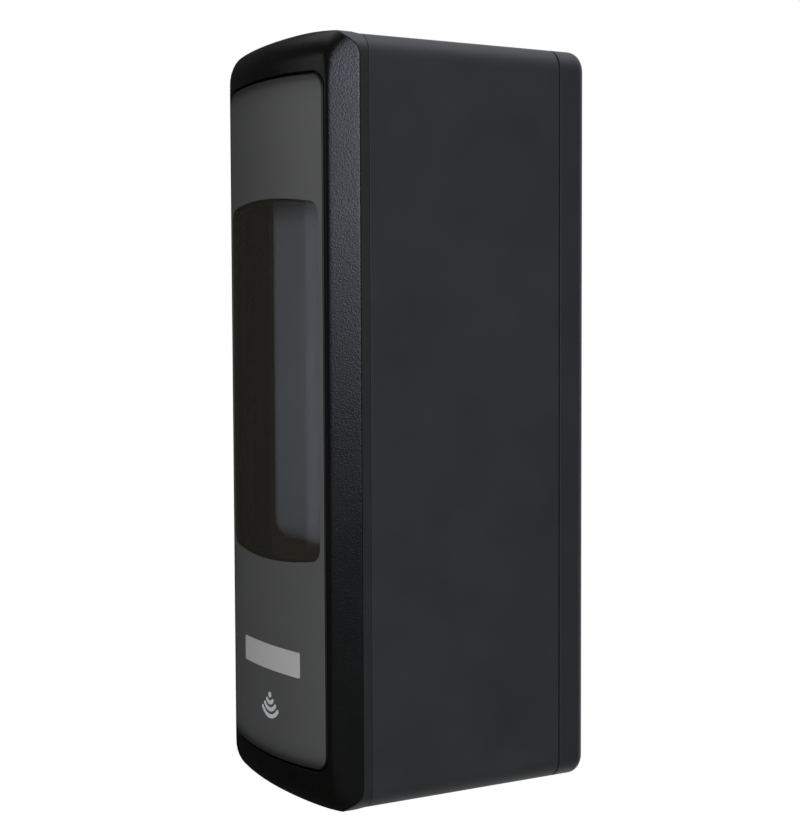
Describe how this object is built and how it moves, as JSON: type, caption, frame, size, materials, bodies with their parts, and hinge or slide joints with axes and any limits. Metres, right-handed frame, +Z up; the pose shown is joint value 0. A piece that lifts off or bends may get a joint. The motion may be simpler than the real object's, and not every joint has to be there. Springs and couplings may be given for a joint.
{
  "type": "wall mounted soap dispenser",
  "caption": "Tall narrow touch-free soap dispenser for a wall: drop-down cover with smoked window and raked bezel, refill bottle, geared pump drive, key lock and battery box.",
  "frame": {"origin": "centre of the back plate's face on the wall", "axes": "+X right as seen from the front, +Y into the wall, +Z up"},
  "size_m": [0.1, 0.1233, 0.308],
  "materials": {
    "plate_abs": "fine moulded satin",
    "shell_abs": "smooth moulded satin",
    "bezel_abs": "fine spark-eroded grain",
    "panel_abs": "satin",
    "smoked_acrylic": "polished, smoked",
    "badge_aluminium": "brushed, bare",
    "bottle_polyethylene": "milky satin",
    "pump_polypropylene": "natural satin",
    "cradle_abs": "moulded satin",
    "drive_abs": "moulded satin",
    "gear_acetal": "natural",
    "steel": "bright",
    "lock_zinc": "plated",
    "board_laminate": "green laminate",
    "cell_jacket": "plain sleeve",
    "contact_nickel": "nickel plated",
    "sensor_acrylic": "infrared black",
    "led_epoxy": "clear red",
    "switch_abs": "moulded"
  },
  "bodies": {
    "chassis": {"back_plate": "plate_abs", "hinge_pins": "steel", "latch_strike": "steel", "bottle_cradle": "cradle_abs", "refill_bottle": "bottle_polyethylene", "bottle_cap": "pump_polypropylene", "pump_body": "pump_polypropylene", "battery_box": "drive_abs", "batteries": "cell_jacket", "battery_contacts": "contact_nickel", "battery_lid": "drive_abs", "drive_housing": "drive_abs", "gear_cover": "drive_abs", "drive_motor": "steel", "idler_axle": "steel", "guide_rods": "steel", "circuit_board": "board_laminate", "sensor_housing": "drive_abs", "sensor_lens": "sensor_acrylic", "status_led": "led_epoxy", "case_screws": "steel"},
    "cover": {"cover_shell": "shell_abs", "front_bezel": "bezel_abs", "front_panel": "panel_abs", "window_lens": "smoked_acrylic", "badge_plate": "badge_aluminium", "lock_housing": "lock_zinc", "lock_nut": "lock_zinc"},
    "lock": {"lock_plug": "lock_zinc", "lock_cam": "steel"},
    "drive": {"drive_gear": "gear_acetal", "rack_pinion": "gear_acetal"},
    "idler": {"idler_gear": "gear_acetal"},
    "motor_shaft": {"motor_pinion": "steel"},
    "pusher": {"pusher_yoke": "gear_acetal", "pump_piston": "pump_polypropylene"},
    "switch": {"power_switch": "switch_abs"}
  },
  "joints": [
    {"name": "cover_hinge", "type": "hinge", "parent": "chassis", "child": "cover", "pos_m": [0, -0.025, -0.148], "axis": [1, 0, 0], "range_deg": [0, 90]},
    {"name": "lock_turn", "type": "hinge", "parent": "cover", "child": "lock", "pos_m": [0, -0.026, 0.14], "axis": [0, 0, -1], "range_deg": [0, 90]},
    {"name": "drive_turn", "type": "hinge", "parent": "chassis", "child": "drive", "pos_m": [0.014, -0.038, -0.112], "axis": [0, 1, 0], "range_deg": [0, 85.94]},
    {"name": "idler_turn", "type": "hinge", "parent": "chassis", "child": "idler", "pos_m": [0.00099, -0.036, -0.09899], "axis": [0, 1, 0], "range_deg": [-309.6, 0]},
    {"name": "motor_turn", "type": "hinge", "parent": "chassis", "child": "motor_shaft", "pos_m": [-0.00741, -0.033, -0.08444], "axis": [0, 1, 0], "range_deg": [0, 990.6]},
    {"name": "pusher_lift", "type": "slide", "parent": "chassis", "child": "pusher", "axis": [0, 0, 1], "range_m": [0, 0.009]},
    {"name": "switch_slide", "type": "slide", "parent": "chassis", "child": "switch", "axis": [0, 0, 1], "range_m": [0, 0.004]}
  ],
  "couplings": [
    {"joint": "idler_turn", "follows": "drive_turn", "ratio": -3.6},
    {"joint": "motor_turn", "follows": "drive_turn", "ratio": 11.52},
    {"joint": "pusher_lift", "follows": "drive_turn", "m_per_rad": 0.006}
  ]
}
